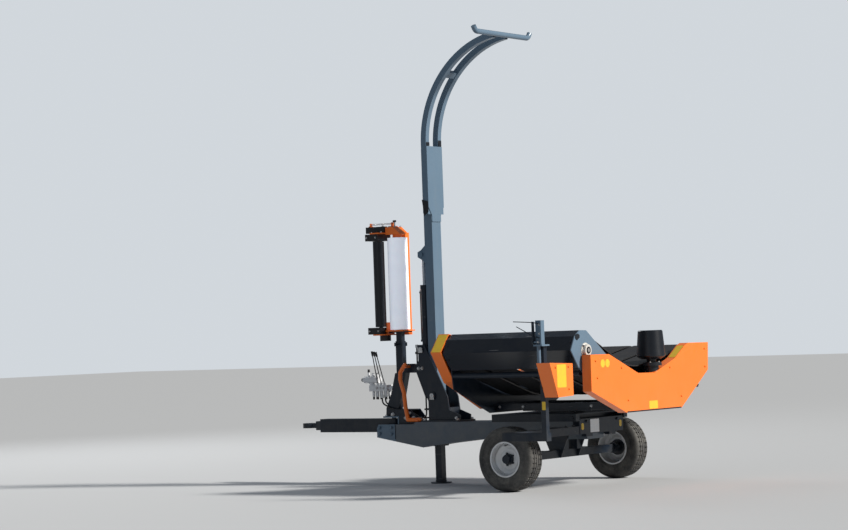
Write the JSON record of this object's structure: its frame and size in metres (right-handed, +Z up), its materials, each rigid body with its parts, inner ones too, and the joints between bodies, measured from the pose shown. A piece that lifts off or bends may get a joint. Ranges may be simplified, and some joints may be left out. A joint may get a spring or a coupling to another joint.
{
  "type": "bale wrapper",
  "caption": "Trailed bale wrapper with a tilting, turning belt table, a curved loading arm, an upright film dispenser and a film cutter.",
  "frame": {"origin": "middle of the footprint on the ground, wheels and parking jack on Z = 0", "axes": "+X towards the tractor, +Y to the machine's left, +Z up"},
  "size_m": [3.466, 2.3058, 3.6066],
  "materials": {
    "dark_frame_paint": "dark blue-grey gloss paint, slightly dusty",
    "steel_blue_paint": "blue-grey gloss paint",
    "orange_paint": "orange gloss paint",
    "rim_silver": "silver paint",
    "tyre_rubber": "matt tyre rubber, dusty",
    "black_rubber": "smooth black rubber",
    "belt_rubber": "woven rubber belt",
    "white_film": "white stretch film, glossy",
    "zinc_steel": "zinc plated steel",
    "black_plastic": "black plastic"
  },
  "bodies": {
    "chassis": {"axle_beam": "dark_frame_paint", "chassis_beam": "dark_frame_paint", "rear_beam": "dark_frame_paint", "head_box": "steel_blue_paint", "jack_socket": "dark_frame_paint", "mast_foot": "dark_frame_paint", "dispenser_stand": "dark_frame_paint", "guard_bar": "orange_paint", "valve_block": "rim_silver", "valve_levers": "black_plastic", "cutter_carrier": "dark_frame_paint", "cutter_guard": "orange_paint", "cutter_clamp": "steel_blue_paint"},
    "wheel_left": {"tyre_left": "tyre_rubber", "rim_left": "rim_silver", "hub_left": "dark_frame_paint"},
    "wheel_right": {"tyre_right": "tyre_rubber", "rim_right": "rim_silver", "hub_right": "dark_frame_paint"},
    "drawbar": {"drawbar": "dark_frame_paint", "tow_eye": "dark_frame_paint"},
    "jack": {"jack_leg": "dark_frame_paint"},
    "tilt_frame": {"tilt_frame": "dark_frame_paint"},
    "table": {"table_frame": "dark_frame_paint", "end_plate_rear": "steel_blue_paint", "end_plate_front": "dark_frame_paint", "side_guard": "dark_frame_paint", "cover_rear": "orange_paint", "cover_front": "orange_paint", "roller_bearings": "zinc_steel", "belts": "belt_rubber", "cone_bases": "black_rubber"},
    "roller_left": {"roller_left": "black_rubber"},
    "roller_right": {"roller_right": "black_rubber"},
    "cone_rear": {"cone_rear": "black_rubber"},
    "cone_front": {"cone_front": "black_rubber"},
    "arm": {"arm_box": "steel_blue_paint", "arm_tubes": "steel_blue_paint", "arm_bar": "steel_blue_paint"},
    "arm_barrel": {"arm_barrel": "dark_frame_paint"},
    "arm_rod": {"arm_rod": "zinc_steel"},
    "tilt_barrel": {"tilt_barrel": "dark_frame_paint"},
    "tilt_rod": {"tilt_rod": "zinc_steel"},
    "dispenser": {"dispenser_post": "dark_frame_paint", "dispenser_frame": "orange_paint", "stretch_blocks": "black_plastic"},
    "film_roll": {"film_roll": "white_film"},
    "stretch_roller_a": {"stretch_roller_a": "black_rubber"},
    "stretch_roller_b": {"stretch_roller_b": "black_rubber"},
    "clamp_finger": {"clamp_finger": "dark_frame_paint"}
  },
  "joints": [
    {"name": "wheel_left_spin", "type": "hinge", "parent": "chassis", "child": "wheel_left", "pos_m": [-0.877, 0.5415, 0.245], "axis": [0, 1, 0], "continuous": true},
    {"name": "wheel_right_spin", "type": "hinge", "parent": "chassis", "child": "wheel_right", "pos_m": [-0.877, -0.9785, 0.245], "axis": [0, 1, 0], "continuous": true},
    {"name": "drawbar_swing", "type": "hinge", "parent": "chassis", "child": "drawbar", "pos_m": [0.783, -0.2185, 0.47], "axis": [0, 0, 1], "range_deg": [-25, 25]},
    {"name": "jack_lift", "type": "slide", "parent": "chassis", "child": "jack", "axis": [0, 0, 1], "range_m": [0, 0.2]},
    {"name": "table_tilt", "type": "hinge", "parent": "chassis", "child": "tilt_frame", "pos_m": [-1.187, -0.2185, 0.53], "axis": [0, -1, 0], "range_deg": [0, 45]},
    {"name": "table_turn", "type": "hinge", "parent": "tilt_frame", "child": "table", "pos_m": [-1.017, -0.2185, 0.6], "axis": [0, 0, 1], "continuous": true},
    {"name": "roller_left_spin", "type": "hinge", "parent": "table", "child": "roller_left", "pos_m": [-1.017, 0.5825, 1.047], "axis": [1, 0, 0], "continuous": true},
    {"name": "roller_right_spin", "type": "hinge", "parent": "table", "child": "roller_right", "pos_m": [-1.017, -1.0185, 0.92], "axis": [1, 0, 0], "continuous": true},
    {"name": "cone_rear_spin", "type": "hinge", "parent": "table", "child": "cone_rear", "pos_m": [-1.622, -0.3155, 1.06], "axis": [0, 0, 1], "continuous": true},
    {"name": "cone_front_spin", "type": "hinge", "parent": "table", "child": "cone_front", "pos_m": [-0.412, -0.1215, 1.06], "axis": [0, 0, 1], "continuous": true},
    {"name": "arm_swing", "type": "hinge", "parent": "chassis", "child": "arm", "pos_m": [0.328, -0.2185, 0.707], "axis": [0, -1, 0], "range_deg": [0, 50]},
    {"name": "arm_barrel_turn", "type": "hinge", "parent": "chassis", "child": "arm_barrel", "pos_m": [0.429, -0.2185, 1.084], "axis": [0, -1, 0], "range_deg": [0, 64.57]},
    {"name": "arm_rod_slide", "type": "slide", "parent": "arm_barrel", "child": "arm_rod", "axis": [-0.0013, 0, 1], "range_m": [0, 0.24491]},
    {"name": "tilt_barrel_turn", "type": "hinge", "parent": "chassis", "child": "tilt_barrel", "pos_m": [-0.097, -0.2185, 0.39], "axis": [0, 1, 0], "range_deg": [0, 22.5]},
    {"name": "tilt_rod_slide", "type": "slide", "parent": "tilt_barrel", "child": "tilt_rod", "axis": [-0.9836, 0, 0.1803], "range_m": [0, 0.24969]},
    {"name": "dispenser_height", "type": "slide", "parent": "chassis", "child": "dispenser", "axis": [0, 0, 1], "range_m": [0, 0.12]},
    {"name": "film_roll_spin", "type": "hinge", "parent": "dispenser", "child": "film_roll", "pos_m": [0.688, -0.2185, 1.6], "axis": [0, 0, 1], "continuous": true},
    {"name": "stretch_roller_a_spin", "type": "hinge", "parent": "dispenser", "child": "stretch_roller_a", "pos_m": [0.823, -0.1285, 1.6], "axis": [0, 0, 1], "continuous": true},
    {"name": "stretch_roller_b_spin", "type": "hinge", "parent": "dispenser", "child": "stretch_roller_b", "pos_m": [0.873, -0.2135, 1.6], "axis": [0, 0, 1], "continuous": true},
    {"name": "clamp_open", "type": "hinge", "parent": "chassis", "child": "clamp_finger", "pos_m": [-1.524, 1.0815, 1.12], "axis": [-1, 0, 0], "range_deg": [0, 25]}
  ],
  "couplings": [
    {"joint": "roller_right_spin", "follows": "roller_left_spin", "ratio": 1},
    {"joint": "stretch_roller_b_spin", "follows": "stretch_roller_a_spin", "ratio": -1},
    {"joint": "arm_barrel_turn", "follows": "arm_swing", "ratio": 1.2894},
    {"joint": "arm_rod_slide", "follows": "arm_swing", "m_per_rad": 0.28008},
    {"joint": "tilt_barrel_turn", "follows": "table_tilt", "ratio": 0.49775},
    {"joint": "tilt_rod_slide", "follows": "table_tilt", "m_per_rad": 0.31727}
  ]
}
